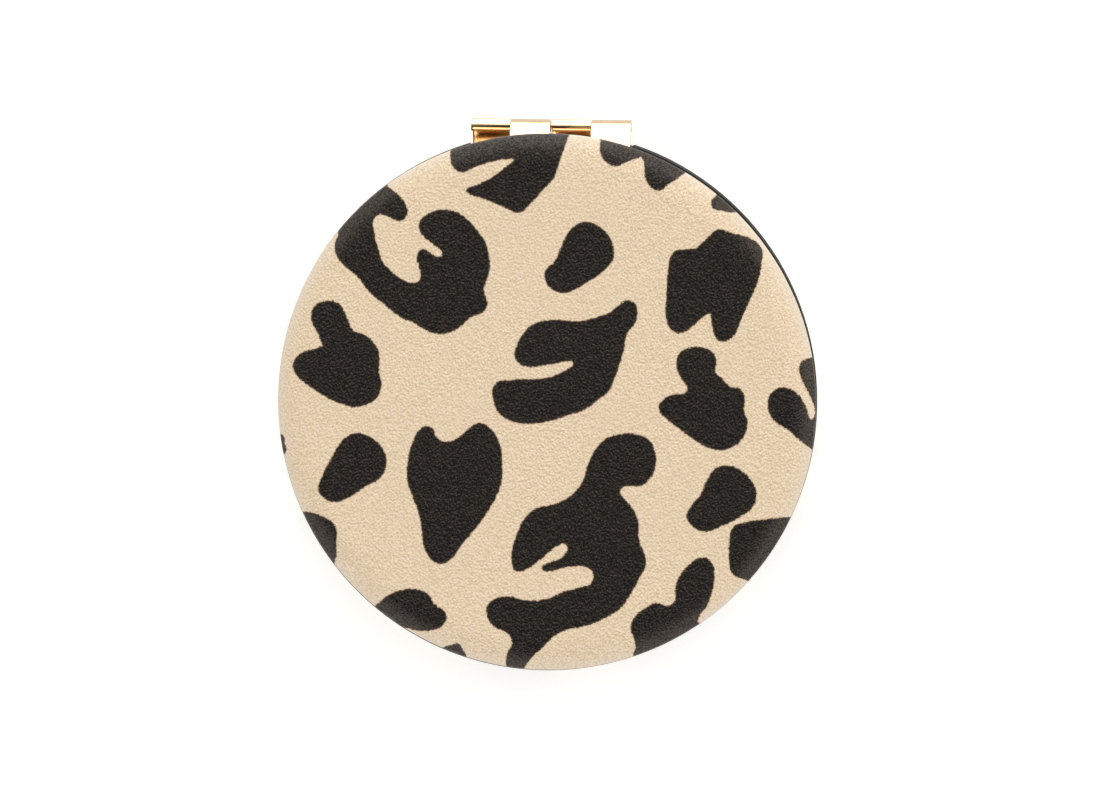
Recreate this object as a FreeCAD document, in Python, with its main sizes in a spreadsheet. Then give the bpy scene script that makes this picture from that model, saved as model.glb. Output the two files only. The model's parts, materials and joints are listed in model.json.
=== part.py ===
"""Round compact mirror: two hinged shells, each with a padded cover outside and a mirror inside.

The closed case lies flat. Z = 0 is the outer face of the base cover, the Z axis is the axis of the discs
and the hinge runs along X on the +Y side. All sizes are in millimetres and degrees.
"""
import FreeCAD, Part
import Sketcher
import math
import os
import re

# Driving sizes.
SIZES = {
    # moulded shell, one for each half
    "tray_diameter": 66.9,
    "tray_floor": 1.2,
    "rim_width": 4.3,
    "rim_edge_round": 0.4,
    "back_edge_round": 0.5,
    "parting_gap": 0.1,
    # padded cover
    "cover_inset": 0.15,
    "cover_skin": 0.5,
    "foam_thickness": 1.0,
    "board_thickness": 0.7,
    "board_margin": 1.6,
    "hem_thickness": 0.3,
    "hem_width": 4.4,
    "tuck_round": 0.5,
    "edge_side_round": 0.9,
    "edge_turn_angle": 40,
    "glue_margin": 0.2,
    # mirrors and the tape that holds them
    "mirror_thickness": 1.7,
    "mirror_recess": 0.6,
    "mirror_clearance": 0.2,
    "mirror_bevel": 0.3,
    "mirror_tape_thickness": 0.5,
    "mirror_tape_diameter": 44,
    "magnifier_thickness": 1.3,
    "magnifier_radius": 900,
    # closing magnets
    "magnet_diameter": 3.0,
    "magnet_thickness": 1.5,
    "magnet_angle": 14,
    "magnet_recess": 0.05,
    "magnet_clearance": 0.02,
    # scallop for a fingernail, opposite the hinge
    "scallop_radius": 7.0,
    "scallop_depth": 0.9,
    "scallop_height": 1.0,
    # sheet metal hinge
    "hinge_width": 20.0,
    "hinge_sheet": 0.45,
    "hinge_standoff": 0.7,
    "finger_straight": 0.1,
    "flange_end_gap": 0.3,
    "knuckle_count": 4,
    "knuckle_gap": 0.1,
    "pin_diameter": 0.6,
    "pin_clearance": 0.03,
    "pin_end_bevel": 0.1,
    "leaf_foot_length": 4.0,
    "leaf_seat_clearance": 0.1,
    "notch_side_clearance": 0.25,
    # countersunk screws of the hinge leaves
    "screw_diameter": 1.2,
    "screw_head_diameter": 2.2,
    "screw_length": 3.0,
    "screw_edge": 2.5,
    "screw_clearance": 0.02,
    "screw_slot_width": 0.3,
    "screw_slot_depth": 0.2,
    # how far a cutting shape runs past the surface that it cuts
    "cut_overrun": 1.0,
}

# Sizes that follow from the driving ones. Heights are measured inwards from a half's outer face.
DERIVED = {
    "tray_radius": "tray_diameter / 2",
    "cover_radius": "tray_radius - cover_inset",
    "board_radius": "cover_radius - board_margin",
    "foam_level": "cover_skin + foam_thickness",
    "board_level": "foam_level + board_thickness",
    "pad_height": "board_level + hem_thickness",
    "hem_radius": "cover_radius - tuck_round - hem_width",
    "roll_height": "pad_height - tuck_round",
    "turn_sine": "sin(edge_turn_angle)",
    "turn_cosine": "cos(edge_turn_angle)",
    "crown_round": "(roll_height - edge_side_round * turn_cosine) / (1 - turn_cosine)",
    "roll_width": "crown_round * turn_sine + edge_side_round * (1 - turn_sine)",
    "flat_radius": "cover_radius - roll_width",
    "skin_radius": "cover_radius - cover_skin",
    "inner_crown": "crown_round - cover_skin",
    "inner_side": "edge_side_round - cover_skin",
    "turn_radius": "flat_radius + crown_round * turn_sine",
    "turn_level": "crown_round * (1 - turn_cosine)",
    "inner_turn_radius": "flat_radius + inner_crown * turn_sine",
    "inner_turn_level": "crown_round - inner_crown * turn_cosine",
    "tray_height": "tray_floor + mirror_tape_thickness + mirror_thickness + mirror_recess",
    "rim_level": "pad_height + tray_height",
    "mid_plane": "rim_level + parting_gap / 2",
    "pocket_radius": "tray_radius - rim_width",
    "floor_level": "pad_height + tray_floor",
    "glass_level": "floor_level + mirror_tape_thickness",
    "mirror_radius": "pocket_radius - mirror_clearance",
    "bevel_radius": "mirror_radius - mirror_bevel",
    "tape_radius": "mirror_tape_diameter / 2",
    "back_sphere": "magnifier_radius + magnifier_thickness",
    "sphere_level": "glass_level + back_sphere",
    "magnet_circle": "tray_radius - rim_width / 2",
    "magnet_x": "magnet_circle * sin(magnet_angle)",
    "magnet_y": "-magnet_circle * cos(magnet_angle)",
    "bore_radius": "pin_diameter / 2 + pin_clearance",
    "barrel_radius": "bore_radius + hinge_sheet",
    "hinge_y": "tray_radius + hinge_standoff",
    "knuckle_pitch": "hinge_width / knuckle_count",
    "hinge_bend_round": "mid_plane - pad_height - finger_straight",
    "bend_y": "hinge_y + barrel_radius - hinge_bend_round",
    "bend_level": "pad_height + hinge_bend_round",
    "leaf_level": "pad_height + hinge_sheet",
    "foot_y": "bend_y - leaf_foot_length",
    "flange_y": "bend_y - hinge_sheet",
    "flange_height": "rim_level - flange_end_gap - pad_height",
    "notch_y": "flange_y - leaf_seat_clearance",
    "screw_x": "hinge_width / 2 - screw_edge",
    "pocket_y": "sqrt(pocket_radius * pocket_radius - screw_x * screw_x)",
    "screw_y": "(pocket_y + notch_y) / 2",
}

# Words of a formula that are functions and not sizes.
FUNCTIONS = ("sin", "cos", "sqrt")

doc = FreeCAD.newDocument("compact_mirror")
sheet = doc.addObject("Spreadsheet::Sheet", "Sizes")
for row, (name, value) in enumerate(SIZES.items(), start=1):
    sheet.set(f"A{row}", name)
    sheet.set(f"B{row}", str(value))
    sheet.setAlias(f"B{row}", name)
doc.recompute()


def formula(text):
    """Writes a formula of named sizes as an expression on the sheet's cells."""
    def reference(match):
        word = match.group()
        if word in FUNCTIONS:
            return word
        if word in DERIVED:
            return f"({formula(DERIVED[word])})"
        return f"Sizes.{word}"
    return re.sub(r"[a-z_]+", reference, text)


def measure(text):
    """Works a formula of named sizes out as a number."""
    return float(sheet.evalExpression(formula(text)))


def bind(feature, **formulas):
    """Ties properties of a feature to the sheet."""
    for name, text in formulas.items():
        feature.setExpression(name, formula(text))


def place(feature, x="0", y="0", z="0"):
    """Ties the place of a feature to the sheet."""
    for axis, text in zip("xyz", (x, y, z)):
        feature.setExpression(f"Placement.Base.{axis}", formula(text))


def origin(body, role):
    """Finds one of a body's own origin planes or axes."""
    return next(item for item in body.Origin.OriginFeatures if item.Role == role)


def arc_edge(start, end, radius, turn):
    """Makes the arc that leaves start and turns left or right to end, and the places of its two ends."""
    chord = end - start
    rise = math.sqrt(radius ** 2 - (chord.Length / 2) ** 2) / chord.Length
    across = FreeCAD.Vector(-chord.y, chord.x) if turn == "left" else FreeCAD.Vector(chord.y, -chord.x)
    centre = (start + end) / 2 + across * rise
    first, last = (start, end) if turn == "left" else (end, start)
    angles = [math.atan2(point.y - centre.y, point.x - centre.x) for point in (first, last)]
    circle = Part.Circle(centre, FreeCAD.Vector(0, 0, 1), radius)
    return Part.ArcOfCircle(circle, *angles), (1, 2) if turn == "left" else (2, 1)


def outline(body, role, name, corners):
    """Draws a closed outline on one of the body's planes.

    A corner is (across, up), or (across, up, turn, radius) where an arc leads from it to the next one.
    """
    sketch = body.newObject("Sketcher::SketchObject", f"{body.Label}_{name}")
    sketch.AttachmentSupport = (origin(body, role), [""])
    sketch.MapMode = "FlatFace"
    points = [FreeCAD.Vector(measure(corner[0]), measure(corner[1])) for corner in corners]
    ends = []
    for index, corner in enumerate(corners):
        start, end = points[index], points[(index + 1) % len(points)]
        if len(corner) == 2:
            edge, places = Part.LineSegment(start, end), (1, 2)
        else:
            edge, places = arc_edge(start, end, measure(corner[3]), corner[2])
        ends.append((sketch.addGeometry(edge), *places))
    for index, corner in enumerate(corners):
        edge, first, _ = ends[index]
        before, _, last = ends[index - 1]
        sketch.addConstraint(Sketcher.Constraint("Coincident", before, last, edge, first))
        for kind, text in zip(("DistanceX", "DistanceY"), corner):
            rule = Sketcher.Constraint(kind, -1, 1, edge, first, measure(text))
            sketch.setExpression(f"Constraints[{sketch.addConstraint(rule)}]", formula(text))
        if len(corner) == 4:
            rule = Sketcher.Constraint("Radius", edge, measure(corner[3]))
            sketch.setExpression(f"Constraints[{sketch.addConstraint(rule)}]", formula(corner[3]))
    return sketch


def turned(body, name, corners, axis="V_Axis"):
    """Turns an outline in the XZ plane about one of its axes."""
    sketch = outline(body, "XZ_Plane", f"{name}_outline", corners)
    feature = body.newObject("PartDesign::Revolution", f"{body.Label}_{name}")
    feature.Profile = sketch
    feature.ReferenceAxis = (sketch, [axis])
    feature.Angle = 360
    return feature


def block(body, kind, name, length, width, height, **corner):
    """Adds or cuts a box, placed by its lowest corner."""
    feature = body.newObject(f"PartDesign::{kind}Box", f"{body.Label}_{name}")
    bind(feature, Length=length, Width=width, Height=height)
    place(feature, **corner)
    return feature


def disc(body, kind, name, radius, height, **centre):
    """Adds or cuts a cylinder that stands along Z, placed by the centre of its lower face."""
    feature = body.newObject(f"PartDesign::{kind}Cylinder", f"{body.Label}_{name}")
    bind(feature, Radius=radius, Height=height)
    place(feature, **centre)
    return feature


def taper(body, kind, name, wide, narrow, height, **centre):
    """Adds or cuts a cone that narrows along Z, placed by the centre of its wide face."""
    feature = body.newObject(f"PartDesign::{kind}Cone", f"{body.Label}_{name}")
    bind(feature, Radius1=wide, Radius2=narrow, Height=height)
    place(feature, **centre)
    return feature


def mirrored(body, name, *features):
    """Repeats features on the other side of the YZ plane."""
    pattern = body.newObject("PartDesign::Mirrored", f"{body.Label}_{name}")
    pattern.Originals = list(features)
    pattern.MirrorPlane = (origin(body, "YZ_Plane"), [""])
    body.Tip = pattern


def cover(body):
    """Printed cloth, wrapped over the foam and the board and turned under as a flat hem."""
    turned(body, "wrap", [
        ("0", "0"),
        ("flat_radius", "0", "left", "crown_round"),
        ("turn_radius", "turn_level", "left", "edge_side_round"),
        ("cover_radius", "roll_height", "left", "tuck_round"),
        ("cover_radius - tuck_round", "pad_height"),
        ("hem_radius", "pad_height"),
        ("hem_radius", "board_level"),
        ("skin_radius", "board_level"),
        ("skin_radius", "roll_height", "right", "inner_side"),
        ("inner_turn_radius", "inner_turn_level", "right", "inner_crown"),
        ("flat_radius", "cover_skin"),
        ("0", "cover_skin"),
    ])


def foam(body):
    """Thin foam that rounds the edge of the cover and laps over the edge of the board."""
    turned(body, "cap", [
        ("0", "cover_skin"),
        ("flat_radius", "cover_skin", "left", "inner_crown"),
        ("inner_turn_radius", "inner_turn_level", "left", "inner_side"),
        ("skin_radius", "roll_height"),
        ("skin_radius", "board_level"),
        ("board_radius", "board_level"),
        ("board_radius", "foam_level"),
        ("0", "foam_level"),
    ])


def board(body):
    """Stiff card that keeps the cover flat."""
    disc(body, "Additive", "sheet", "board_radius", "board_thickness", z="foam_level")


def cover_glue(body):
    """Disc of adhesive inside the hem, between the board and the shell."""
    disc(body, "Additive", "sheet", "hem_radius - glue_margin", "hem_thickness", z="board_level")


def tray(body):
    """Moulded shell: a pocket for the mirror, a rim, and seats for the hinge, the screws and the magnets."""
    turned(body, "cup", [
        ("0", "pad_height"),
        ("tray_radius - back_edge_round", "pad_height", "left", "back_edge_round"),
        ("tray_radius", "pad_height + back_edge_round"),
        ("tray_radius", "rim_level - rim_edge_round", "left", "rim_edge_round"),
        ("tray_radius - rim_edge_round", "rim_level"),
        ("pocket_radius + rim_edge_round", "rim_level", "left", "rim_edge_round"),
        ("pocket_radius", "rim_level - rim_edge_round"),
        ("pocket_radius", "floor_level"),
        ("0", "floor_level"),
    ])
    notch_width = "hinge_width + 2 * notch_side_clearance"
    notch_x = "-hinge_width / 2 - notch_side_clearance"
    block(body, "Subtractive", "hinge_notch", notch_width, "tray_radius - notch_y + cut_overrun",
          "tray_height + 2 * cut_overrun", x=notch_x, y="notch_y", z="pad_height - cut_overrun")
    block(body, "Subtractive", "leaf_seat", notch_width,
          "notch_y - foot_y + leaf_seat_clearance + cut_overrun", "hinge_sheet + cut_overrun",
          x=notch_x, y="foot_y - leaf_seat_clearance", z="pad_height - cut_overrun")
    hole = disc(body, "Subtractive", "screw_hole", "screw_diameter / 2 + screw_clearance",
                "screw_length + screw_clearance", x="screw_x", y="screw_y", z="pad_height")
    mirrored(body, "screw_holes", hole)
    pocket = disc(body, "Subtractive", "magnet_pocket", "magnet_diameter / 2 + magnet_clearance",
                  "magnet_thickness + magnet_recess + cut_overrun", x="magnet_x", y="magnet_y",
                  z="rim_level - magnet_recess - magnet_thickness")
    mirrored(body, "magnet_pockets", pocket)
    disc(body, "Subtractive", "nail_scallop", "scallop_radius", "scallop_height + cut_overrun",
         y="scallop_depth - tray_radius - scallop_radius", z="rim_level - scallop_height")


def mirror_tape(body):
    """Disc of double-sided tape under a flat mirror."""
    disc(body, "Additive", "sheet", "tape_radius", "mirror_tape_thickness", z="floor_level")


def mirror(body):
    """Flat silvered glass with a bevelled edge."""
    turned(body, "glass", [
        ("0", "glass_level"),
        ("mirror_radius", "glass_level"),
        ("mirror_radius", "glass_level + mirror_thickness - mirror_bevel"),
        ("bevel_radius", "glass_level + mirror_thickness"),
        ("0", "glass_level + mirror_thickness"),
    ])


def magnifier_tape(body):
    """Double-sided foam tape that follows the curved back of the magnifying mirror."""
    turned(body, "sheet", [
        ("0", "floor_level"),
        ("tape_radius", "floor_level"),
        ("tape_radius", "sphere_level - sqrt(back_sphere * back_sphere - tape_radius * tape_radius)",
         "right", "back_sphere"),
        ("0", "glass_level"),
    ])


def magnifier(body):
    """Glass of even thickness, bent to a hollow sphere, which magnifies."""
    bevel_level = "sphere_level - sqrt(magnifier_radius * magnifier_radius - bevel_radius * bevel_radius)"
    turned(body, "glass", [
        ("0", "glass_level", "left", "back_sphere"),
        ("mirror_radius", "sphere_level - sqrt(back_sphere * back_sphere - mirror_radius * mirror_radius)"),
        ("mirror_radius", f"{bevel_level} - mirror_bevel"),
        ("bevel_radius", bevel_level, "right", "magnifier_radius"),
        ("0", "glass_level + magnifier_thickness"),
    ])


def magnets(body):
    """Pair of disc magnets in the rim, which hold the case shut."""
    magnet = disc(body, "Additive", "right", "magnet_diameter / 2", "magnet_thickness", x="magnet_x",
                  y="magnet_y", z="rim_level - magnet_recess - magnet_thickness")
    mirrored(body, "pair", magnet)


def hinge_leaf(body):
    """Sheet metal leaf: a foot let into the shell, a flange turned in along the notch in the shell, and
    fingers that bend round and curl about the pin."""
    leaf_width = "hinge_width - knuckle_gap"
    leaf_x = "(knuckle_gap - hinge_width) / 2"
    block(body, "Additive", "foot", leaf_width, "leaf_foot_length", "hinge_sheet", x=leaf_x, y="foot_y",
          z="pad_height")
    block(body, "Additive", "flange", leaf_width, "hinge_sheet", "flange_height", x=leaf_x, y="flange_y",
          z="pad_height")
    sketch = outline(body, "YZ_Plane", "finger_outline", [
        ("flange_y", "pad_height"),
        ("bend_y", "pad_height", "left", "hinge_bend_round"),
        ("hinge_y + barrel_radius", "bend_level"),
        ("hinge_y + barrel_radius", "mid_plane", "left", "barrel_radius"),
        ("hinge_y", "mid_plane + barrel_radius", "left", "barrel_radius"),
        ("hinge_y - barrel_radius", "mid_plane", "left", "barrel_radius"),
        ("hinge_y", "mid_plane - barrel_radius"),
        ("hinge_y", "mid_plane - bore_radius", "right", "bore_radius"),
        ("hinge_y - bore_radius", "mid_plane", "right", "bore_radius"),
        ("hinge_y", "mid_plane + bore_radius", "right", "bore_radius"),
        ("hinge_y + bore_radius", "mid_plane"),
        ("hinge_y + bore_radius", "bend_level", "right", "hinge_bend_round - hinge_sheet"),
        ("bend_y", "leaf_level"),
        ("flange_y", "leaf_level"),
    ])
    sketch.setExpression("AttachmentOffset.Base.z", formula(leaf_x))
    finger = body.newObject("PartDesign::Pad", f"{body.Label}_finger")
    finger.Profile = sketch
    bind(finger, Length="knuckle_pitch - knuckle_gap")
    fingers = body.newObject("PartDesign::LinearPattern", f"{body.Label}_fingers")
    fingers.Originals = [finger]
    fingers.Direction = (origin(body, "X_Axis"), [""])
    bind(fingers, Length="hinge_width - 2 * knuckle_pitch", Occurrences="knuckle_count / 2")
    body.Tip = fingers
    countersink = taper(body, "Subtractive", "countersink", "screw_head_diameter / 2 + screw_clearance",
                        "screw_diameter / 2 + screw_clearance", "hinge_sheet",
                        x="screw_x", y="screw_y", z="pad_height")
    mirrored(body, "countersinks", countersink)


def leaf_screws(body):
    """Two slotted countersunk screws that hold a leaf's foot to the shell, flush under the cover."""
    seat = {"x": "screw_x", "y": "screw_y"}
    head = taper(body, "Additive", "head", "screw_head_diameter / 2", "screw_diameter / 2", "hinge_sheet",
                 z="pad_height", **seat)
    shank = disc(body, "Additive", "shank", "screw_diameter / 2", "screw_length - hinge_sheet",
                 z="leaf_level", **seat)
    slot = block(body, "Subtractive", "slot", "screw_head_diameter + 2 * cut_overrun", "screw_slot_width",
                 "screw_slot_depth + cut_overrun", x="screw_x - screw_head_diameter / 2 - cut_overrun",
                 y="screw_y - screw_slot_width / 2", z="pad_height - cut_overrun")
    mirrored(body, "pair", head, shank, slot)


def hinge_pin(body):
    """Pin through all the knuckles, with bevelled ends."""
    length = "hinge_width - knuckle_gap"
    turned(body, "rod", [
        ("0", "0"),
        (length, "0"),
        (length, "pin_diameter / 2 - pin_end_bevel"),
        (f"{length} - pin_end_bevel", "pin_diameter / 2"),
        ("pin_end_bevel", "pin_diameter / 2"),
        ("0", "pin_diameter / 2 - pin_end_bevel"),
    ], axis="H_Axis")
    place(body, x="(knuckle_gap - hinge_width) / 2", y="hinge_y", z="mid_plane")


def new_body(label):
    """Makes the body of one sub-part."""
    body = doc.addObject("PartDesign::Body", label)
    body.Label = label
    return body


# Both halves are the same set of pieces, apart from the mirror. The lid is a base turned over about the
# Y axis, which also brings its hinge fingers between those of the base.
HALF_PIECES = {
    "cover": cover,
    "foam": foam,
    "board": board,
    "cover_glue": cover_glue,
    "tray": tray,
    "hinge_leaf": hinge_leaf,
    "leaf_screws": leaf_screws,
    "magnets": magnets,
}
LID_PIECES = {"mirror_tape": mirror_tape, "mirror": mirror}
BASE_PIECES = {"mirror_tape": magnifier_tape, "mirror": magnifier}

sub_parts = []
for half, own_pieces in (("base", BASE_PIECES), ("lid", LID_PIECES)):
    for piece, make in {**HALF_PIECES, **own_pieces}.items():
        body = new_body(f"{half}_{piece}")
        make(body)
        if half == "lid":
            body.Placement.Rotation = FreeCAD.Rotation(FreeCAD.Vector(0, 1, 0), 180)
            place(body, z="2 * mid_plane")
        sub_parts.append(body)
pin = new_body("hinge_pin")
hinge_pin(pin)
sub_parts.append(pin)
doc.recompute()

for item in doc.Objects:
    if "Invalid" in item.State or "Error" in item.State:
        raise RuntimeError(f"{item.Label} failed: {item.State}")
    if "Subtractive" in item.TypeId and item.Shape.Volume >= item.BaseFeature.Shape.Volume:
        raise RuntimeError(f"{item.Label} cuts nothing")
for body in sub_parts:
    if body.Shape.isNull() or not body.Shape.isValid():
        raise RuntimeError(f"{body.Label} has no valid shape")

os.makedirs("parts", exist_ok=True)
for body in sub_parts:
    body.Shape.exportStep(f"parts/{body.Label}.step")
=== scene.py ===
"""Looks of a round compact mirror: printed suede covers, black shells, a gold hinge and two mirrors."""
import json
import math

import bmesh
import bpy
from mathutils import Matrix, Vector


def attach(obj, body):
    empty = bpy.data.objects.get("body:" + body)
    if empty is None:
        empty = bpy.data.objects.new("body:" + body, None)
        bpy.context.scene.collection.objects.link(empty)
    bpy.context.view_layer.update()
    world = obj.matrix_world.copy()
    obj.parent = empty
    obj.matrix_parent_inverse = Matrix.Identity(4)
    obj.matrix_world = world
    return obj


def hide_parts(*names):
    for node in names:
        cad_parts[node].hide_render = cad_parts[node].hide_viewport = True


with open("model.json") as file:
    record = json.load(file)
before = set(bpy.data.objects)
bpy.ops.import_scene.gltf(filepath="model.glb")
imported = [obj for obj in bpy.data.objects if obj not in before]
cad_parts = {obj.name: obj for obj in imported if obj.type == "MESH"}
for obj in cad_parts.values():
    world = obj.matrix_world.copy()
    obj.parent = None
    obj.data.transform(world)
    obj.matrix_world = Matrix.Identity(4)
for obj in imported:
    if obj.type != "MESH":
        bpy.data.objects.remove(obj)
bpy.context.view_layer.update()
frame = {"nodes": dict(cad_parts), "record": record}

nodes = frame["nodes"]

MM = 0.001

# Sizes of the case in millimetres, as in the part's source. Heights run inwards from a half's outer face.
CASE_HEIGHT = 13.1
COVER_RADIUS = 33.3
COVER_SKIN = 0.5
FOAM_LEVEL = 1.5
BOARD_LEVEL = 2.2
PAD_HEIGHT = 2.5
BOARD_RADIUS = 31.7
HEM_RADIUS = 28.4
TUCK_ROUND = 0.5
MIRROR_RADIUS = 28.95
MIRROR_BEVEL = 0.3
GLASS_LEVEL = 4.2
DISHED_GLASS = 1.3
DISH_SPHERE = 900

# The rolled edge of a cover: a wide round off the flat face, up to the turn in degrees, then a tight one.
ROLL_HEIGHT = 2.0
SIDE_ROUND = 0.9
TURN = 40
TURN_SINE = math.sin(math.radians(TURN))
TURN_COSINE = math.cos(math.radians(TURN))
CROWN_ROUND = (ROLL_HEIGHT - SIDE_ROUND * TURN_COSINE) / (1 - TURN_COSINE)
FLAT_RADIUS = COVER_RADIUS - CROWN_ROUND * TURN_SINE - SIDE_ROUND * (1 - TURN_SINE)
CROWN_CENTRE = (FLAT_RADIUS, CROWN_ROUND)
SIDE_CENTRE = (FLAT_RADIUS + (CROWN_ROUND - SIDE_ROUND) * TURN_SINE, ROLL_HEIGHT)
TUCK_CENTRE = (COVER_RADIUS - TUCK_ROUND, ROLL_HEIGHT)

# Steps of the meshes along their profiles in millimetres, finest where the print and the rolled edge show,
# the count of rings on the glass, and the gaps that are closed when a mesh is done.
FACE_STEP = 0.3
CROWN_STEP = 0.24
SIDE_STEP = 0.12
HEM_STEP = 1.6
HEM_EDGE_STEP = 0.2
INNER_STEP = 4.0
INNER_CROWN_STEP = 0.6
INNER_SIDE_STEP = 0.2
GLASS_RINGS = 24
SEAM_GAP = 0.001
SLIVER_GAP = 0.0005

# Steps of the meshes round the axis, and the radius of the ring that a profile is turned on.
COVER_TURNS = 600
FOAM_TURNS = 160
GLASS_TURNS = 240
RING_RADIUS = 1.0

# The give of the cloth at a cover's edge in millimetres, its direction and the radii where it sets in.
COVER_WANDER = 0.09
COVER_PULL = 0.08
CLOTH_BIAS = math.radians(150)
GIVE_START = 26
GIVE_FULL = 32
WAVES_ROUND = 3.2
GIVE_SEEDS = {"lid": 2.0, "base": 7.0}

# The nap of the cloth: the step in millimetres to the place whose grain paints shade on one side of each tuft
# and light on the other, and how the grain is drawn out.
RELIEF_SHADE_STEP = (0.055, 0.22, 0.0)
NAP_STRETCH = (0.8, 1.1, 1.0)

# The hinge leaves: the rounding of their edges and the slivers that go first, in millimetres, the least
# angle of an edge and the greatest within a flat face.
LEAF_EASE = 0.06
LEAF_SLIVER = 0.02
LEAF_EDGE_ANGLE = math.radians(35)
LEAF_FLAT_ANGLE = math.radians(0.5)

# The camera: its lean off the case's axis and its roll in degrees, and in millimetres the point that it
# aims at, its distance, lens and sensor.
CAMERA_LEAN = (2.88, 3.99)
CAMERA_ROLL = 0.63
CAMERA_AIM = (0.44, -0.25, 11.1)
CAMERA_DISTANCE = 626.3
CAMERA_LENS = 165.7
CAMERA_SENSOR = 36.0

# The studio in metres: the tent's light level with the floor and its fall overhead, the tilt of its opening,
# the cosines over which that dims and how far, the floor's reach and glow, and the place of the hinge's card.
TENT_LIGHT = 1.32
TENT_FALL = 0.92
OPENING_TILT = math.radians(12)
OPENING_RIM = (0.94, 0.985)
OPENING_LIGHT = 0.35
FLOOR_REACH = 12.0
FLOOR_SHOWN = 0.55
FLOOR_MIRRORED = 0.3
CARD_PLACE = (-0.006, 0.176, 0.001)

# The drawing of the print: its units to a millimetre, the lid's centre on it and its turn on either half.
DRAWING_SCALE = 8.096
DRAWING_CENTRE = (546.0, 403.0)
PRINT_TURNS = {"lid": math.radians(0.73), "base": math.radians(143)}
SPOT_RESOLUTION = 8
CORNER = "corner"

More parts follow.
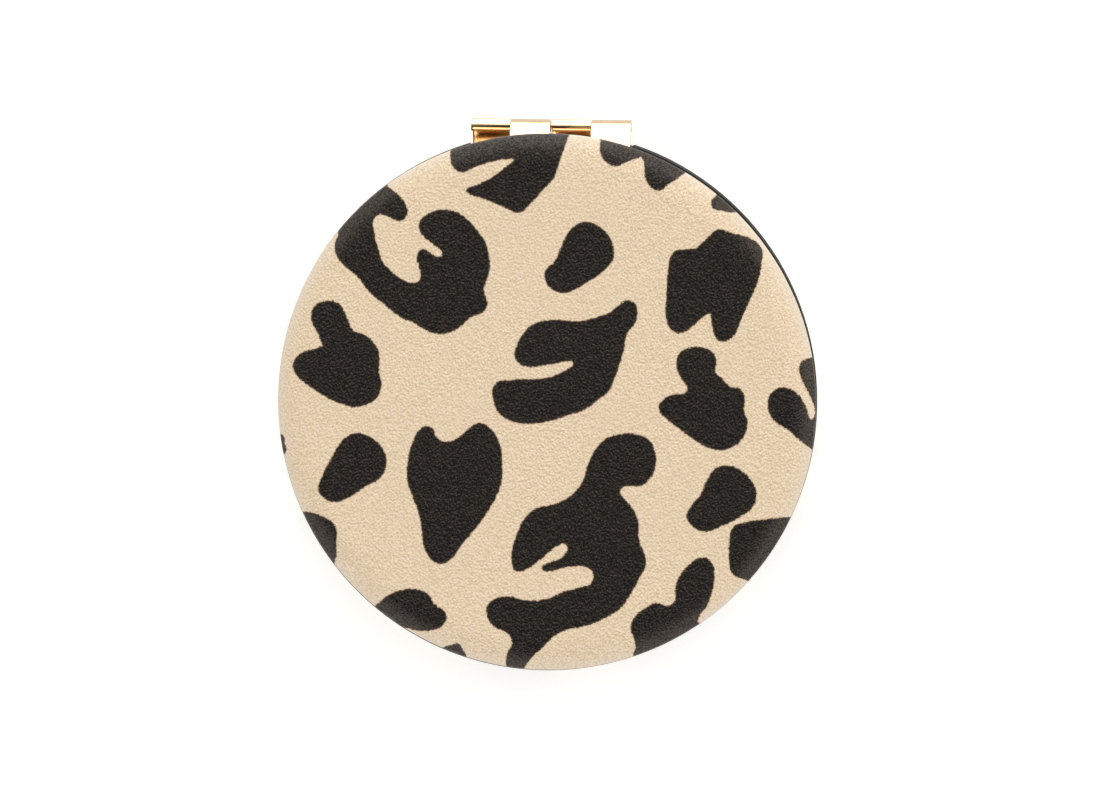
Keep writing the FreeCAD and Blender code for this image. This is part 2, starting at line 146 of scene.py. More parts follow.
# Outlines of the print's spots on the drawing, across and down. A spot at the edge runs on past the rim.
SPOTS = {
    "top_left_tick": [
        (452, 160), (452, 151), (457, 138), (474, 126), (511, 119), (550, 116), (575, 120), (568, 138),
        (565, 147), (560, 162), (554, 178), (544, 189), (533, 201), (520, 212), (506, 207), (485, 198.5),
        (469.5, 193), (467.5, 190.5), (470, 188), (476, 186), (494, 177), (508, 166.5), (517, 159, CORNER),
        (512, 158.5), (494, 161), (471.5, 168.5), (466, 171.5), (459, 171), (454, 166)],
    "top_right_twin_drip": [
        (600, 126), (601.5, 141), (601.5, 153), (606, 161), (616, 166), (626, 162), (635, 159),
        (642, 156, CORNER), (645, 163), (645.5, 174), (648, 183), (659, 190), (668.5, 184), (684, 173),
        (694, 164), (660, 136), (630, 124)],
    "top_right_bud": [
        (717, 195), (712, 201), (713.5, 208), (722, 210), (735.5, 211), (748, 201), (738, 186), (727, 183)],
    "left_c": [
        (388, 186), (397, 193), (406, 204), (408, 213), (402, 220), (391, 217), (379, 214), (374, 220),
        (375, 234), (379, 250), (384, 263), (395, 274), (406, 281), (416, 283), (421, 279), (420, 266),
        (418, 257.5), (422, 249.5), (431, 253), (441, 257), (443, 252), (436, 245), (425, 236), (420, 227),
        (422, 220), (431, 213), (445, 210), (461, 214), (475, 227), (485, 241), (490, 261), (488, 277),
        (484, 290), (487.5, 304), (482.5, 312), (472, 316), (459, 327), (447, 332.5), (436, 332.5),
        (422, 327), (413, 321), (402, 317), (388, 306), (370, 291), (357.5, 275), (345, 265), (337, 254),
        (336, 241), (339, 232.5), (327, 222), (350, 193), (378, 173)],
    "left_heart": [
        (312, 313), (316, 305), (327, 301), (338, 303), (344, 311), (349, 322), (353, 330), (365, 335),
        (375, 344), (379, 354), (379, 370), (381, 388), (374, 400), (366, 404), (354, 407), (346.5, 405),
        (333, 400), (313, 388), (297, 375), (293, 365), (297, 357), (306, 351), (316, 349),
        (323, 345, CORNER), (319, 334), (313, 322)],
    "top_bean": [
        (586, 222), (596, 224.5), (609, 236), (614, 250), (613, 259), (604, 270), (586, 282.5), (570, 291),
        (561, 292), (550, 286), (545.5, 275), (548, 268), (554, 263), (561, 250), (568, 234), (577, 225)],
    "boot": [
        (719, 229, CORNER), (732, 233), (755, 241), (762, 250), (761, 263), (756, 284), (748, 302),
        (739, 322), (734, 334), (722, 340.5), (716, 337), (712.5, 325), (711, 312, CORNER), (704, 315),
        (693, 325), (682, 332), (671, 328), (667, 318), (667, 295), (669, 268), (672, 255), (678, 250),
        (687.5, 249.5), (696, 248), (705, 240.5), (712.5, 233)],
    "centre_fish": [
        (629, 300), (636, 305), (637.5, 312), (634, 324), (627, 332.5), (624, 349), (619, 365),
        (612.5, 382.5), (609, 390), (598, 399), (584, 409), (569, 414), (550, 420), (528, 423), (507, 418),
        (498, 410), (494, 399), (493, 390), (498, 382), (511, 380), (550, 377), (562.5, 372),
        (574, 365, CORNER), (573, 361), (564, 361), (550, 363.5), (524, 365), (516, 357.5), (516, 350),
        (524, 334), (532.5, 325), (550, 320), (582, 321), (598, 317), (609, 313), (618, 306)],
    "right_figure": [
        (679, 354), (687.5, 348), (700, 347), (711, 351), (716, 361), (715, 372), (721, 377), (730, 386),
        (739, 388), (744, 396), (743.5, 410), (747, 421), (743, 436), (732, 446), (720, 449), (707, 446),
        (688, 434), (669, 419), (659, 408), (663, 400), (673, 394), (686, 392), (687.5, 387), (680, 375),
        (677, 365)],
    "right_edge_c": [
        (812, 357), (805, 359), (800, 364), (801, 376), (805, 384), (810, 394), (814.5, 405), (815.5, 411),
        (814, 417), (812, 419), (809, 417), (807, 410), (802.5, 400.5), (796, 392), (788, 388), (781, 387),
        (774, 390), (769, 396), (768, 402), (770, 413), (775, 420), (789.5, 430), (802.5, 441), (811, 447),
        (826, 455), (836, 420), (835, 385), (826, 352)],
    "left_bean": [
        (358, 433.5), (371, 438), (383, 450), (386, 463), (381, 476), (366, 486), (346.5, 498), (335, 502),
        (324.5, 498.5), (318, 490), (322, 476.5), (331, 459), (339, 445), (346.5, 437)],
    "tooth": [
        (427, 426), (433, 429), (435.5, 436), (442, 441), (452, 441), (461, 436), (471, 427), (479.5, 423),
        (490, 428), (499, 442), (502, 463), (500, 486), (490, 507), (477, 526), (461, 545), (448, 561),
        (439, 564), (431, 559), (424, 547), (422, 532), (419, 513), (413.5, 498), (408, 482), (408, 463),
        (412.5, 444), (420, 430)],
    "large_figure": [
        (607, 438), (619, 434), (634, 433.5), (648, 439), (655, 452), (655, 467), (649.5, 478), (640, 485),
        (626.5, 485), (620, 490), (624, 498), (632, 507), (638, 520.5), (639, 540), (644, 553), (646, 563),
        (640, 576), (632, 591), (621, 607), (604, 618), (584, 626), (566, 630), (554, 636), (543, 647),
        (530, 659), (521, 671), (509, 672), (506, 662), (508, 653), (512, 645), (511, 638), (506, 632),
        (498, 629), (491, 624), (487, 616), (487, 608), (494, 600), (507, 597), (521, 600), (538, 601),
        (550, 598.5), (561.5, 593), (579, 588), (591, 584), (594, 576), (590, 568), (579, 565.5),
        (561.5, 568), (550, 571), (545.5, 571), (542, 568), (545.5, 564.5), (550, 562.5), (558, 560),
        (566, 553), (568, 547), (564, 543), (558, 545), (550, 551), (538, 561), (526, 569), (517, 571),
        (512, 563), (513, 549), (519, 530), (528, 515), (540, 507), (550, 505.5), (565, 499.5), (577, 490),
        (583.5, 480), (589, 463), (597, 448)],
    "right_bean": [
        (726, 465), (739, 469), (751, 480), (756, 494), (753, 505), (741, 515), (722, 525), (703, 530.5),
        (692.5, 525), (687, 515), (692, 505), (701, 494), (709, 476.5), (716, 468)],
    "lower_right_edge": [
        (734, 526), (745, 522), (764, 519), (790, 517), (805, 520), (784, 566), (760, 592), (748, 580),
        (733, 573), (730, 563), (729.5, 545), (731, 532)],
    "bottom_right_l": [
        (703, 557), (712, 563), (714, 576), (712, 591), (706, 607), (698, 619), (700, 625), (710, 640),
        (678, 664), (640, 674), (634, 657), (636, 647), (634, 637), (631, 628), (636, 616), (646, 608),
        (657, 603), (669, 606), (675, 601), (676, 587.5), (680, 576), (690, 564)],
    "left_edge": [
        (304, 513), (320, 516.5), (330, 522), (334.5, 527.5), (335, 545), (333, 563), (321, 576),
        (300, 550), (288, 518)],
    "bottom_left_lens": [
        (374, 607.5), (388, 596.5), (403, 590.5), (418, 590.5), (428, 595.5), (433.5, 604.5), (443, 611.5),
        (446, 618.5), (441, 626.5), (432, 630.5), (418, 631.5), (403, 629.5), (393, 640), (378, 630),
        (364, 616)],
    "bottom_bud": [
        (443, 649), (450, 647), (457.5, 645), (462, 651), (465, 657), (464, 673), (436, 664)],
    "left_sliver": [
        (281.8, 436), (283.2, 444), (284.8, 451), (278, 456), (268, 447), (270, 436)],
}


class Wire:
    """An output of a node. Arithmetic on it adds Math nodes to its tree."""

    def __init__(self, bench, socket):
        self.bench = bench
        self.socket = socket

    def side(self, name):
        """Another output of the same node."""
        return Wire(self.bench, self.socket.node.outputs[name])

    def __add__(self, other):
        return self.bench.maths("ADD", self, other)

    __radd__ = __add__

    def __sub__(self, other):
        return self.bench.maths("SUBTRACT", self, other)

    def __rsub__(self, other):
        return self.bench.maths("SUBTRACT", other, self)

    def __mul__(self, other):
        return self.bench.maths("MULTIPLY", self, other)

    __rmul__ = __mul__

    def __truediv__(self, other):
        return self.bench.maths("DIVIDE", self, other)

    def __rtruediv__(self, other):
        return self.bench.maths("DIVIDE", other, self)

    def __pow__(self, other):
        return self.bench.maths("POWER", self, other)

    def __rpow__(self, other):
        return self.bench.maths("POWER", other, self)

    def __abs__(self):
        return self.bench.maths("ABSOLUTE", self)


class Bench:
    """A node tree in the making."""

    def __init__(self, tree):
        self.tree = tree

    def add(self, kind, settings=None, sockets=None, out=0):
        """Adds a node, with its settings first and then the values or links of its sockets."""
        node = self.tree.nodes.new(kind)
        for name, value in (settings or {}).items():
            setattr(node, name, value)
        for name, value in (sockets or {}).items():
            if isinstance(value, Wire):
                self.tree.links.new(value.socket, node.inputs[name])
            else:
                node.inputs[name].default_value = value
        return Wire(self, node.outputs[out]) if node.outputs else node

    def maths(self, operation, *values):
        """A Math node on wires and numbers."""
        return self.add("ShaderNodeMath", {"operation": operation}, dict(enumerate(values)))

    def vector(self, operation, *values, out=0):
        """A Vector Math node on wires and vectors."""
        return self.add("ShaderNodeVectorMath", {"operation": operation}, dict(enumerate(values)), out)

    def scaled(self, vector, amount):
        """A vector times a number."""
        return self.add("ShaderNodeVectorMath", {"operation": "SCALE"}, {0: vector, "Scale": amount})

    def ramp(self, value, low, high, start=0.0, end=1.0):
        """Value eased from start at low to end at high, and level beyond."""
        return self.add("ShaderNodeMapRange", {"interpolation_type": "SMOOTHSTEP"},
                        {0: value, 1: low, 2: high, 3: start, 4: end})

    def mix(self, share, first, second):
        """Colour between two."""
        return self.add("ShaderNodeMix", {"data_type": "RGBA"}, {0: share, 6: first, 7: second}, out=2)

    def height(self, where):
        """Height of a place."""
        return self.add("ShaderNodeSeparateXYZ", None, {"Vector": where}, out="Z")

    def grain(self, where, scale, detail=2.0, roughness=0.5, stretch=None, twist=0.0):
        """Even noise at so many grains to the metre."""
        if stretch:
            where = self.add("ShaderNodeMapping", None, {"Vector": where, "Scale": stretch})
        return self.add("ShaderNodeTexNoise", None, {
            "Vector": where, "Scale": scale, "Detail": detail, "Roughness": roughness, "Distortion": twist})

    def bump(self, relief, strength, depth):
        """Normal of a relief of so many millimetres."""
        return self.add("ShaderNodeBump", None, {
            "Height": relief, "Strength": strength, "Distance": depth * MM})


def colour(red, green, blue):
    """Opaque colour."""
    return (red, green, blue, 1.0)


def grey(level):
    """Opaque grey."""
    return colour(level, level, level)


def finish_material(name, looks):
    """Makes a material whose Principled sockets are what the given function returns."""
    material = bpy.data.materials.new(name)
    material.use_nodes = True
    material.node_tree.nodes.clear()
    bench = Bench(material.node_tree)
    where = bench.add("ShaderNodeTexCoord", out="Object")
    shader = bench.add("ShaderNodeBsdfPrincipled", None, looks(bench, where))
    bench.add("ShaderNodeOutputMaterial", None, {"Surface": shader})
    return material


def printed_suede(bench, where):
    """Short-napped beige cloth with black spots. The spots' depth inside their outlines is in millimetres.

    Each tuft is painted light on one side and shade on the other, from the grain here less the grain a step
    away: painted relief shade. Over the rolled edge the colour pales, partly from rubbed nap and partly from
    painted sheen.
    """
    # The dark and pale ends of the grain tones also carry the painted shade and painted light on the sides of
    # each tuft.
    sand_grain_dark_and_shaded, sand_grain_pale_and_lit = colour(0.60, 0.455, 0.275), colour(0.965, 0.795, 0.61)
    # The worn colours pale the rolled edge: partly rubbed wear, partly painted sheen.
    sand_cloud, sand_wear_and_sheen = colour(0.75, 0.61, 0.43), colour(0.80, 0.71, 0.595)
    black_grain_dark_and_shaded, black_grain_pale_and_lit = colour(0.0008, 0.0004, 0.0002), colour(0.072, 0.058, 0.047)
    black_wear_and_sheen, spot_fringe = colour(0.074, 0.060, 0.050), colour(0.042, 0.015, 0.004)

    # The place one step along, whose grain is taken away to paint light on one side of each tuft and shade on
    # the other.
    behind = bench.vector("ADD", where, tuple(length * MM for length in RELIEF_SHADE_STEP))
    nap, shade_side_grain = (bench.grain(place, 5400, detail=1, roughness=0.6, twist=0.5, stretch=NAP_STRETCH)
                 for place in (where, behind))
    tuft = bench.grain(where, 2400, stretch=NAP_STRETCH)
    cloud = bench.grain(where, 90)
    depth = bench.add("ShaderNodeAttribute", {"attribute_name": "spot_depth"}, out="Fac")
    ragged = depth + (nap - 0.5) * 0.55 + (tuft - 0.5) * 0.2
    ink = bench.ramp(ragged, -0.04, 0.04)
    fringe = bench.ramp(abs(ragged - 0.01), 0.03, 0.13, 0.9, 0.0)
    # Grain tone, with painted relief shade from the grain one step along.
    level = bench.ramp(nap * 0.9 + tuft * 0.1 - (shade_side_grain - 0.5) * 0.37, 0.275, 0.725)
    drop = CASE_HEIGHT / 2 - abs(bench.height(where) / MM - CASE_HEIGHT / 2)

    sand = bench.mix(level, sand_grain_dark_and_shaded, sand_grain_pale_and_lit)
    sand = bench.mix(bench.ramp(cloud, 0.35, 0.65, 0.0, 0.15), sand, sand_cloud)
    # Paler over the rolled edge all round: rubbed wear and painted sheen.
    sand = bench.mix(bench.ramp(drop, 0.3, 1.7) * (0.4 + level * 0.5), sand, sand_wear_and_sheen)
    black = bench.mix(level ** 3.0, black_grain_dark_and_shaded, black_grain_pale_and_lit)
    # Black paler over the rolled edge all round: rubbed wear and painted sheen.
    black = bench.mix(bench.ramp(drop, 0.05, 0.9) * (0.15 + level), black, black_wear_and_sheen)
    shine = bench.ramp(nap, 0.38, 0.62, 0.72, 0.40) - ink * bench.ramp(nap, 0.38, 0.62, 0.0, 0.08)
    return {"Base Color": bench.mix(fringe, bench.mix(ink, sand, black), spot_fringe),
            "Roughness": shine, "Normal": bench.bump(nap * 0.7 + tuft * 0.3, 0.5, 0.1),
            "Specular IOR Level": 0.2, "Sheen Weight": 0.45, "Sheen Roughness": 0.3,
            "Sheen Tint": colour(1.0, 0.87, 0.77)}


def black_shell(bench, where):
    """Black moulding with a fine satin grain and the odd dull patch from handling."""
    stipple = bench.grain(where, 6000)
    haze = bench.grain(where, 150, detail=3)
    return {"Base Color": bench.mix(haze, grey(0.008), grey(0.013)),
            "Roughness": bench.ramp(haze, 0.35, 0.75, 0.50, 0.62),
            "Normal": bench.bump(stipple, 0.25, 0.04), "Specular IOR Level": 0.1}


def gold_hinge(bench, where):
    """Polished gold plate over rolled sheet, with fine lines along the hinge."""
    lines = bench.grain(where, 2600, detail=3, stretch=(0.04, 1.0, 1.0))
    haze = bench.grain(where, 260, detail=3)
    return {"Base Color": bench.mix(haze, colour(0.74, 0.54, 0.325), colour(0.79, 0.59, 0.365)),
            "Metallic": 1.0, "Roughness": bench.ramp(haze, 0.3, 0.7, 0.13, 0.21),
            "Normal": bench.bump(lines, 0.06, 0.02)}


def screw_steel(bench, where):
    """Turned steel."""
    lines = bench.grain(where, 3000, stretch=(1.0, 0.1, 1.0))
    return {"Base Color": bench.mix(lines, colour(0.5, 0.5, 0.51), colour(0.64, 0.64, 0.65)),
            "Metallic": 1.0, "Roughness": 0.22 + lines * 0.18}


def magnet_nickel(bench, where):
    """Nickel plate, slightly pitted."""
    pits = bench.grain(where, 2200)
    return {"Base Color": bench.mix(pits, colour(0.66, 0.64, 0.60), colour(0.76, 0.74, 0.70)),
            "Metallic": 1.0, "Roughness": 0.16 + pits * 0.12, "Normal": bench.bump(pits, 0.08, 0.03)}


def mirror_glass(bench, where):
    """Silvered glass with the faintest smear."""
    smear = bench.grain(where, 120, detail=4, roughness=0.6, stretch=(1.0, 0.45, 1.0))
    return {"Base Color": colour(0.82, 0.86, 0.85), "Metallic": 1.0,
            "Roughness": bench.ramp(smear, 0.45, 0.8, 0.012, 0.04)}


def pad_foam(bench, where):
    """Open-celled foam."""
    cells = bench.add("ShaderNodeTexVoronoi", None, {"Vector": where, "Scale": 2600}, out="Distance")
    return {"Base Color": bench.mix(cells, colour(0.86, 0.83, 0.74), colour(0.70, 0.66, 0.57)),
            "Roughness": 0.95, "Normal": bench.bump(cells, 0.6, 0.1)}


def card_board(bench, where):
    """Grey card with fibres."""
    fibre = bench.grain(where, 1400, detail=4, stretch=(1.0, 0.25, 1.0))
    return {"Base Color": bench.mix(fibre, colour(0.43, 0.39, 0.33), colour(0.62, 0.57, 0.49)),
            "Roughness": 0.88 + fibre * 0.08}


def adhesive(bench, where):
    """White double-sided foam tape and dried glue."""
    cells = bench.grain(where, 2400)
    return {"Base Color": bench.mix(cells, colour(0.83, 0.83, 0.79), colour(0.93, 0.93, 0.90)),
            "Roughness": 0.55 + cells * 0.3}


MATERIALS = {look.__name__: finish_material(look.__name__, look) for look in (
    printed_suede, pad_foam, card_board, adhesive, black_shell, gold_hinge, screw_steel, magnet_nickel,
    mirror_glass)}


def new_object(name, data):
    """Object of some data in the scene."""
    item = bpy.data.objects.new(name, data)
    bpy.context.scene.collection.objects.link(item)
    return item


def evaluated_mesh(item):
    """Plain mesh of an object with its modifiers applied."""
    depsgraph = bpy.context.evaluated_depsgraph_get()
    return bpy.data.meshes.new_from_object(item.evaluated_get(depsgraph))


def new_tree(name, inputs):
    """Starts a geometry tree with named inputs after its geometry. Returns its bench and the wires."""
    tree = bpy.data.node_groups.new(name, "GeometryNodeTree")
    tree.is_modifier = True
    tree.interface.new_socket("Geometry", in_out="INPUT", socket_type="NodeSocketGeometry")
    for label, kind in inputs.items():
        tree.interface.new_socket(label, in_out="INPUT", socket_type=kind)
    tree.interface.new_socket("Geometry", in_out="OUTPUT", socket_type="NodeSocketGeometry")
    bench = Bench(tree)
    entry = tree.nodes.new("NodeGroupInput")
    return bench, {socket.name: Wire(bench, socket) for socket in entry.outputs if socket.name}


def end_tree(bench, geometry, material):
    """Ends a geometry tree with plain mesh in its material."""
    real = bench.add("GeometryNodeRealizeInstances", None, {"Geometry": geometry})
    done = bench.add("GeometryNodeSetMaterial", None, {"Geometry": real, "Material": material})
    bench.add("NodeGroupOutput", None, {"Geometry": done})
    return bench.tree


def run_tree(tree, name, start, values):
    """Runs a geometry tree on a start mesh and returns the plain mesh object that comes out."""
    source = new_object(f"{name}_start", start)
    modifier = source.modifiers.new("shape", "NODES")
    modifier.node_group = tree
    for item in tree.interface.items_tree:
        if item.item_type == "SOCKET" and item.in_out == "INPUT" and item.name in values:
            modifier[item.identifier] = values[item.name]
    mesh = evaluated_mesh(source)
    mesh.name = name
    source.modifiers.clear()
    bpy.data.objects.remove(source)
    return new_object(name, mesh)


def line_mesh(name, points):
    """Mesh of a chain of points, across and up, in millimetres."""
    mesh = bpy.data.meshes.new(name)
    edges = [(i, i + 1) for i in range(len(points) - 1)]
    mesh.from_pydata([(x * MM, y * MM, 0) for x, y in points], edges, [])
    return mesh


def shade_smooth(mesh):
    """Shades all faces smooth."""
    mesh.polygons.foreach_set("use_smooth", [True] * len(mesh.polygons))


def close_up(piece, smooth_angle):
    """Merges doubles, turns the faces outwards and shades them smooth except at edges."""
    work = bmesh.new()
    work.from_mesh(piece.data)
    bmesh.ops.remove_doubles(work, verts=work.verts, dist=SEAM_GAP * MM)
    bmesh.ops.dissolve_degenerate(work, edges=work.edges, dist=SLIVER_GAP * MM)
    bmesh.ops.recalc_face_normals(work, faces=work.faces)
    work.to_mesh(piece.data)
    work.free()
    shade_smooth(piece.data)
    piece.data.set_sharp_from_angle(angle=math.radians(smooth_angle))
    piece.data.update()


def stand_for(piece, node, body):
    """Puts a finished piece in the place of a solid, on its body, and hides the solid."""
    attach(piece, body)
    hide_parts(node)


def arc(centre, radius, start, end, step):
    """Points along an arc, with angles in degrees and points at most a step apart."""
    count = max(2, math.ceil(abs(math.radians(end - start)) * radius / step))
    angles = [math.radians(start + (end - start) * i / count) for i in range(count + 1)]
    return [(centre[0] + radius * math.cos(a), centre[1] + radius * math.sin(a)) for a in angles]


def straight(start, end, step):
    """Points along a straight line, without its last."""
    count = max(1, math.ceil(math.dist(start, end) / step))
    return [(start[0] + (end[0] - start[0]) * i / count, start[1] + (end[1] - start[1]) * i / count)
            for i in range(count)]


def turned_tree():
    """Geometry tree that turns a profile about Z, pulls its edge oval and lets it wander a little."""
    bench, given = new_tree("turned_form", {
        "Steps": "NodeSocketInt", "Wander": "NodeSocketFloat", "Pull": "NodeSocketFloat",
        "Seed": "NodeSocketFloat", "Material": "NodeSocketMaterial"})
    profile = bench.add("GeometryNodeMeshToCurve", None, {"Mesh": given["Geometry"]})
    ring = bench.add("GeometryNodeCurvePrimitiveCircle", None, {
        "Resolution": given["Steps"], "Radius": RING_RADIUS * MM})
    ring = bench.add("GeometryNodeSetCurveNormal", {"mode": "Z_UP"}, {"Curve": ring})
    swept = bench.add("GeometryNodeCurveToMesh", None, {"Curve": ring, "Profile Curve": profile})
    swept = bench.add("GeometryNodeMergeByDistance", None, {
        "Geometry": swept, "Distance": SLIVER_GAP * MM})
    spread = bench.vector("MULTIPLY", bench.add("GeometryNodeInputPosition"), (1.0, 1.0, 0.0))
    radius = bench.vector("LENGTH", spread, out="Value")
    outward = bench.vector("NORMALIZE", spread)
    waves = bench.add("ShaderNodeTexNoise", {"noise_dimensions": "4D"}, {
        "Vector": outward, "W": given["Seed"], "Scale": WAVES_ROUND, "Detail": 2.0})
    bias = (math.cos(CLOTH_BIAS), math.sin(CLOTH_BIAS), 0.0)
    along = bench.vector("DOT_PRODUCT", outward, bias, out="Value")
    oval = along * along * 2 - 1
    give = (waves - 0.5) * given["Wander"] + oval * given["Pull"]
    offset = bench.scaled(outward, give * bench.ramp(radius, GIVE_START * MM, GIVE_FULL * MM))
    moved = bench.add("GeometryNodeSetPosition", None, {"Geometry": swept, "Offset": offset})
    return end_tree(bench, moved, given["Material"])


def print_tree():
    """Geometry tree that stores how deep each point lies inside the spots of the print, in millimetres."""
    bench, given = new_tree("print_on_cover", {
        "Spots": "NodeSocketObject", "Lean": "NodeSocketVector", "Face": "NodeSocketFloat",
        "Material": "NodeSocketMaterial"})
    spots = bench.add("GeometryNodeObjectInfo", None, {"Object": given["Spots"]}, out="Geometry")
    lines = bench.add("GeometryNodeCurveToMesh", None, {"Curve": spots})
    fill = bench.add("GeometryNodeFillCurve", None, {"Curve": spots})
    place = bench.add("GeometryNodeInputPosition")
    shift = bench.scaled(given["Lean"], abs(given["Face"] - bench.height(place)))
    flat = bench.vector("MULTIPLY", bench.vector("ADD", place, shift), (1.0, 1.0, 0.0))
    above = bench.vector("ADD", flat, (0.0, 0.0, 1.0))
    near = bench.add("GeometryNodeProximity", {"target_element": "EDGES"}, {
        0: lines, "Sample Position": flat}, out="Distance")
    hit = bench.add("GeometryNodeRaycast", None, {
        "Target Geometry": fill, "Source Position": above, "Ray Direction": (0.0, 0.0, -1.0),
        "Ray Length": 2.0}, out="Is Hit")
    depth = near * (hit * 2.0 - 1.0) / MM
    stored = bench.add("GeometryNodeStoreNamedAttribute", {"data_type": "FLOAT", "domain": "POINT"}, {
        "Geometry": given["Geometry"], "Name": "spot_depth", "Value": depth})
    return end_tree(bench, stored, given["Material"])


def spot_curves(half):
    """Smooth closed curves of the print's spots, turned about the centre, and flipped for the underside."""
    data = bpy.data.curves.new("spots", "CURVE")
    data.dimensions = "2D"
    data.fill_mode = "NONE"
    cosine, sine = math.cos(PRINT_TURNS[half]), math.sin(PRINT_TURNS[half])
    for points in SPOTS.values():
        spline = data.splines.new("BEZIER")
        spline.bezier_points.add(len(points) - 1)
        spline.use_cyclic_u = True
        spline.resolution_u = SPOT_RESOLUTION
        for knot, point in zip(spline.bezier_points, points):
            across = (point[0] - DRAWING_CENTRE[0]) / DRAWING_SCALE * MM
            up = (DRAWING_CENTRE[1] - point[1]) / DRAWING_SCALE * MM
            x, y = across * cosine - up * sine, across * sine + up * cosine
            knot.co = (-x if half == "base" else x, y, 0)
            knot.handle_left_type = knot.handle_right_type = "VECTOR" if CORNER in point else "AUTO"
    return new_object("spots", data)


def upright(profile, half):
    """Profile of a piece of the base, or of the lid, which is a base turned over, as the ring carries it."""
    return [(r - RING_RADIUS, -z if half == "base" else z - CASE_HEIGHT) for r, z in profile]


def turned(turning, name, profile, half, slot, **values):
    """Turned piece of one half in the material of its slot."""
    values["Material"] = MATERIALS[slot]
    return run_tree(turning, name, line_mesh(f"{name}_line", upright(profile, half)), values)


def cover_profile():
    """Outline of the cloth from the middle of its face, over the rolled edge, round the hem and inside."""
    hem_edge, hem_inside = (HEM_RADIUS, PAD_HEIGHT), (HEM_RADIUS, BOARD_LEVEL)
    points = straight((0, 0), (FLAT_RADIUS, 0), FACE_STEP)
    points += arc(CROWN_CENTRE, CROWN_ROUND, -90, TURN - 90, CROWN_STEP)[:-1]
    points += arc(SIDE_CENTRE, SIDE_ROUND, TURN - 90, 0, SIDE_STEP)
    points += arc(TUCK_CENTRE, TUCK_ROUND, 0, 90, SIDE_STEP)[1:]
    points += straight((TUCK_CENTRE[0], PAD_HEIGHT), hem_edge, HEM_STEP)[1:]
    points += straight(hem_edge, hem_inside, HEM_EDGE_STEP)
    points += straight(hem_inside, (COVER_RADIUS - COVER_SKIN, BOARD_LEVEL), HEM_STEP)
    points += foam_side()[::-1]
    points += straight((FLAT_RADIUS, COVER_SKIN), (0, COVER_SKIN), INNER_STEP)[1:]
    return points + [(0, COVER_SKIN)]


def foam_side():
    """Rounded side of the foam, which is the inside of the cloth, from the face to the board."""
    points = arc(CROWN_CENTRE, CROWN_ROUND - COVER_SKIN, -90, TURN - 90, INNER_CROWN_STEP)[:-1]
    points += arc(SIDE_CENTRE, SIDE_ROUND - COVER_SKIN, TURN - 90, 0, INNER_SIDE_STEP)
    return points + [(COVER_RADIUS - COVER_SKIN, BOARD_LEVEL)]


def foam_profile():
    """Outline of the foam that lies over the board and laps round its edge."""
    board_corner = (BOARD_RADIUS, FOAM_LEVEL)
    points = straight((0, COVER_SKIN), (FLAT_RADIUS, COVER_SKIN), INNER_STEP) + foam_side()
    points += [(BOARD_RADIUS, BOARD_LEVEL), board_corner]
    return points + straight(board_corner, (0, FOAM_LEVEL), INNER_STEP)[1:] + [(0, FOAM_LEVEL)]


def dished_profile():
    """Outline of the base's glass, bent to a hollow sphere, from mid-face over its edge to mid-back."""
    centre = GLASS_LEVEL + DISHED_GLASS + DISH_SPHERE

    def sphere(radius, reach):
        """Points on a sphere about the centre, from the middle out to a reach."""
        places = (reach * i / GLASS_RINGS for i in range(GLASS_RINGS + 1))
        return [(r, centre - math.sqrt(radius ** 2 - r ** 2)) for r in places]

    face = sphere(DISH_SPHERE, MIRROR_RADIUS - MIRROR_BEVEL)
    back = sphere(DISH_SPHERE + DISHED_GLASS, MIRROR_RADIUS)
    return face + [(MIRROR_RADIUS, face[-1][1] - MIRROR_BEVEL)] + back[::-1]


def printed_cover(turning, printing, half):
    """Cover of one half, turned and printed."""
    lean = [math.tan(math.radians(angle)) for angle in CAMERA_LEAN]
    wrap = turned(turning, f"{half}_wrap", cover_profile(), half, "printed_suede", Steps=COVER_TURNS,
                  Wander=COVER_WANDER * MM, Pull=COVER_PULL * MM, Seed=GIVE_SEEDS[half])
    spots = spot_curves(half)
    cover = run_tree(printing, f"{half}_printed_cover", wrap.data, {
        "Spots": spots, "Lean": (*lean, 0.0), "Face": CASE_HEIGHT * MM if half == "lid" else 0.0,
        "Material": MATERIALS["printed_suede"]})
    bpy.data.objects.remove(wrap)
    bpy.data.objects.remove(spots)
    close_up(cover, smooth_angle=50)
    return cover


def padded_pieces(turning):
    """Printed covers and the foam under them, for both halves."""
    printing = print_tree()
    for half in ("lid", "base"):
        cover = printed_cover(turning, printing, half)
        foam = turned(turning, f"{half}_foam_pad", foam_profile(), half, "pad_foam", Steps=FOAM_TURNS,
                      Wander=0.0, Pull=0.0, Seed=0.0)
        close_up(foam, smooth_angle=40)
        for piece, node, slot, fill in ((cover, f"{half}_cover", "printed_suede", 0.9),
                                        (foam, f"{half}_foam", "pad_foam", 1.0)):
            stand_for(piece, node, half)


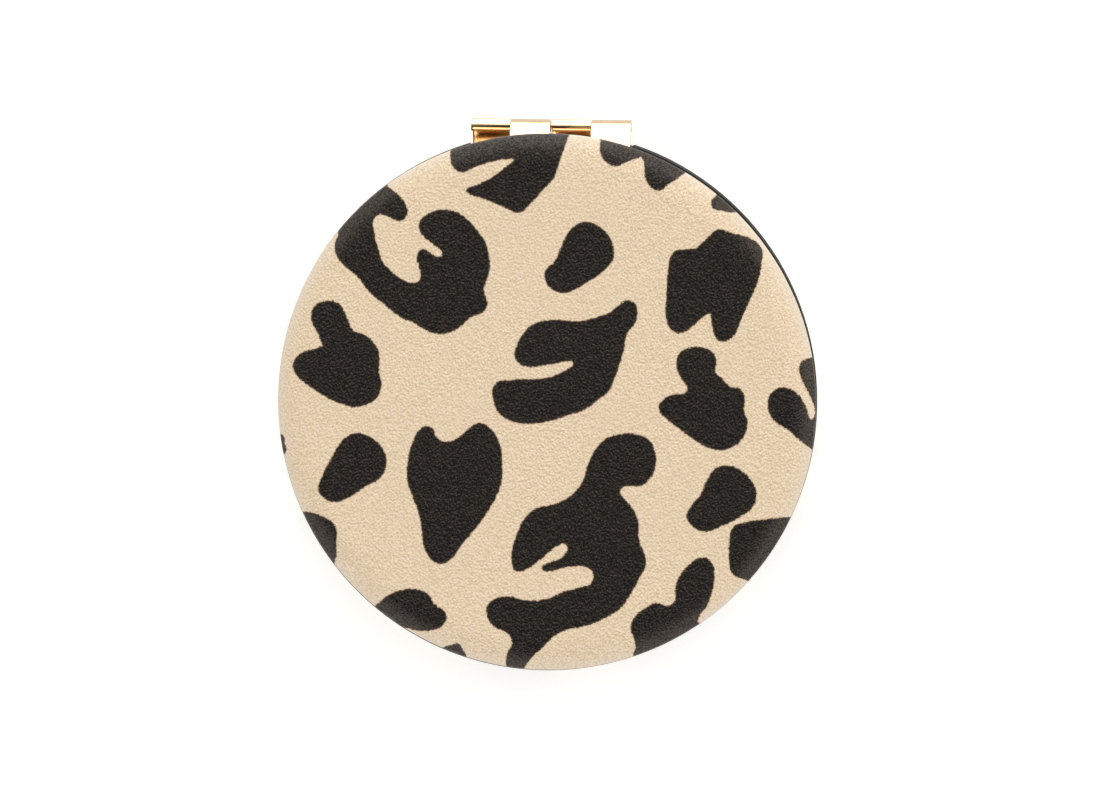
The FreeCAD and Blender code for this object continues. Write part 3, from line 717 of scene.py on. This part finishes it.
def eased_leaf(half):
    """Stands in for a hinge leaf with a copy of it whose sharp edges are rounded off."""
    node, slot = f"{half}_hinge_leaf", "gold_hinge"
    work = bmesh.new()
    work.from_mesh(nodes[node].data)
    bmesh.ops.remove_doubles(work, verts=work.verts, dist=LEAF_SLIVER * MM)
    bmesh.ops.dissolve_degenerate(work, edges=work.edges, dist=LEAF_SLIVER * MM)
    bmesh.ops.dissolve_limit(work, angle_limit=LEAF_FLAT_ANGLE, verts=work.verts, edges=work.edges)
    mesh = bpy.data.meshes.new(f"{node}_eased")
    work.to_mesh(mesh)
    work.free()
    shade_smooth(mesh)
    mesh.materials.append(MATERIALS[slot])
    piece = new_object(f"{node}_eased", mesh)
    bevel = piece.modifiers.new("edges", "BEVEL")
    bevel.width, bevel.segments, bevel.use_clamp_overlap = LEAF_EASE * MM, 2, False
    bevel.limit_method, bevel.angle_limit = "ANGLE", LEAF_EDGE_ANGLE
    piece.modifiers.new("shading", "WEIGHTED_NORMAL")
    piece.data = evaluated_mesh(piece)
    piece.modifiers.clear()
    stand_for(piece, node, half)


def rigid_pieces(turning):
    """Hinge leaves of pressed sheet, whose edges catch the light, and the dished glass."""
    for half in ("base", "lid"):
        eased_leaf(half)
    glass = turned(turning, "base_dished_glass", dished_profile(), "base", "mirror_glass", Steps=GLASS_TURNS,
                   Wander=0.0, Pull=0.0, Seed=0.0)
    close_up(glass, smooth_angle=30)
    stand_for(glass, "base_mirror", "base")


def dress_cad_nodes():
    """Gives every carried-over solid the finish of its slot."""
    for row in frame["record"]["subparts"]:
        mesh = nodes[row["node"]].data
        mesh.materials.clear()
        mesh.materials.append(MATERIALS[row["material_slot"]])


def photo_camera():
    """Camera over the lid, a little towards the hinge and the right."""
    back = Vector((*(math.tan(math.radians(angle)) for angle in CAMERA_LEAN), 1.0)).normalized()
    level = Vector((0, 1, 0)).cross(back).normalized()
    upward = back.cross(level)
    cosine, sine = math.cos(math.radians(CAMERA_ROLL)), math.sin(math.radians(CAMERA_ROLL))
    right, up = level * cosine + upward * sine, upward * cosine - level * sine
    data = bpy.data.cameras.new("camera")
    data.lens, data.sensor_width, data.sensor_fit = CAMERA_LENS, CAMERA_SENSOR, "HORIZONTAL"
    data.clip_start, data.clip_end = 0.01, 50.0
    camera = new_object("camera", data)
    camera.matrix_world = Matrix((right, up, back)).transposed().to_4x4()
    camera.location = (Vector(CAMERA_AIM) + back * CAMERA_DISTANCE) * MM
    bpy.context.scene.camera = camera


def tent():
    """White tent round the case, paler towards the floor, with a dim opening over it."""
    world = bpy.data.worlds.new("tent")
    bpy.context.scene.world = world
    world.use_nodes = True
    world.node_tree.nodes.clear()
    bench = Bench(world.node_tree)
    towards = bench.add("ShaderNodeTexCoord", out="Generated")
    overhead = (0.0, -math.sin(OPENING_TILT), math.cos(OPENING_TILT))
    opening = bench.vector("DOT_PRODUCT", towards, overhead, out="Value")
    dimmed = bench.ramp(opening, *OPENING_RIM, 1.0, OPENING_LIGHT)
    wall = (TENT_LIGHT - bench.height(towards) * TENT_FALL) * dimmed
    tone = bench.add("ShaderNodeCombineColor", None, {
        "Red": wall, "Green": wall * 0.99, "Blue": wall * 0.975})
    sky = bench.mix(bench.add("ShaderNodeLightPath", out="Is Camera Ray"), tone, grey(1.0))
    light = bench.add("ShaderNodeBackground", None, {"Color": sky, "Strength": 1.0})
    bench.add("ShaderNodeOutputWorld", None, {"Surface": light})


def pale_floor():
    """Pale floor that keeps the shadow and shows white to the camera, to metal and to glass."""
    material = bpy.data.materials.new("pale_floor")
    material.use_nodes = True
    material.node_tree.nodes.clear()
    bench = Bench(material.node_tree)
    seen = bench.add("ShaderNodeLightPath", out="Is Camera Ray")
    mirrored = bench.maths("MAXIMUM", seen.side("Is Glossy Ray"), seen.side("Is Transmission Ray"))
    paper = bench.add("ShaderNodeBsdfDiffuse", None, {"Color": colour(0.74, 0.73, 0.71)})
    glow = bench.add("ShaderNodeEmission", None, {
        "Color": colour(1.0, 0.985, 0.96), "Strength": seen * FLOOR_SHOWN + mirrored * FLOOR_MIRRORED})
    both = bench.add("ShaderNodeAddShader", None, {0: paper, 1: glow})
    bench.add("ShaderNodeOutputMaterial", None, {"Surface": both})
    mesh = bpy.data.meshes.new("floor")
    corners = [(-1, -1), (1, -1), (1, 1), (-1, 1)]
    mesh.from_pydata([(x * FLOOR_REACH, y * FLOOR_REACH, 0) for x, y in corners], [], [(0, 1, 2, 3)])
    mesh.materials.append(material)
    floor = new_object("floor", mesh)


def softbox(name, azimuth, tilt, distance, width, height, radiance):
    """Soft lamp, sized in metres, at an azimuth from +X and a tilt off the vertical in degrees."""
    a, t = math.radians(azimuth), math.radians(tilt)
    towards = Vector((math.cos(a) * math.sin(t), math.sin(a) * math.sin(t), math.cos(t)))
    data = bpy.data.lights.new(name, "AREA")
    data.shape, data.size, data.size_y = "RECTANGLE", width, height
    data.energy = radiance * math.pi * width * height
    lamp = new_object(name, data)
    lamp.location = towards * distance
    lamp.rotation_mode = "QUATERNION"
    lamp.rotation_quaternion = towards.to_track_quat("Z", "Y")
    return lamp


def softboxes():
    """Lamps about the case, and a card low behind the hinge that only its metal shows."""
    softbox("key_softbox", azimuth=25, tilt=62, distance=1.0, width=0.7, height=0.7, radiance=1.0)
    softbox("hinge_strip_softbox", azimuth=93, tilt=48, distance=0.9, width=0.13, height=1.6, radiance=3.3)
    front = softbox("front_softbox", azimuth=265, tilt=55, distance=1.0, width=1.2, height=0.8, radiance=0.6)
    front.visible_glossy = False
    softbox("low_back_softbox", azimuth=85, tilt=76, distance=1.0, width=0.8, height=0.30, radiance=2.6)
    card = softbox("hinge_card", azimuth=90, tilt=180, distance=0.0, width=0.05, height=0.26, radiance=3.3)
    card.location = CARD_PLACE
    card.visible_camera = card.visible_diffuse = False


bpy.context.scene.view_settings.view_transform = "Standard"
dress_cad_nodes()
turning_tree = turned_tree()
rigid_pieces(turning_tree)
padded_pieces(turning_tree)
photo_camera()
tent()
pale_floor()
softboxes()
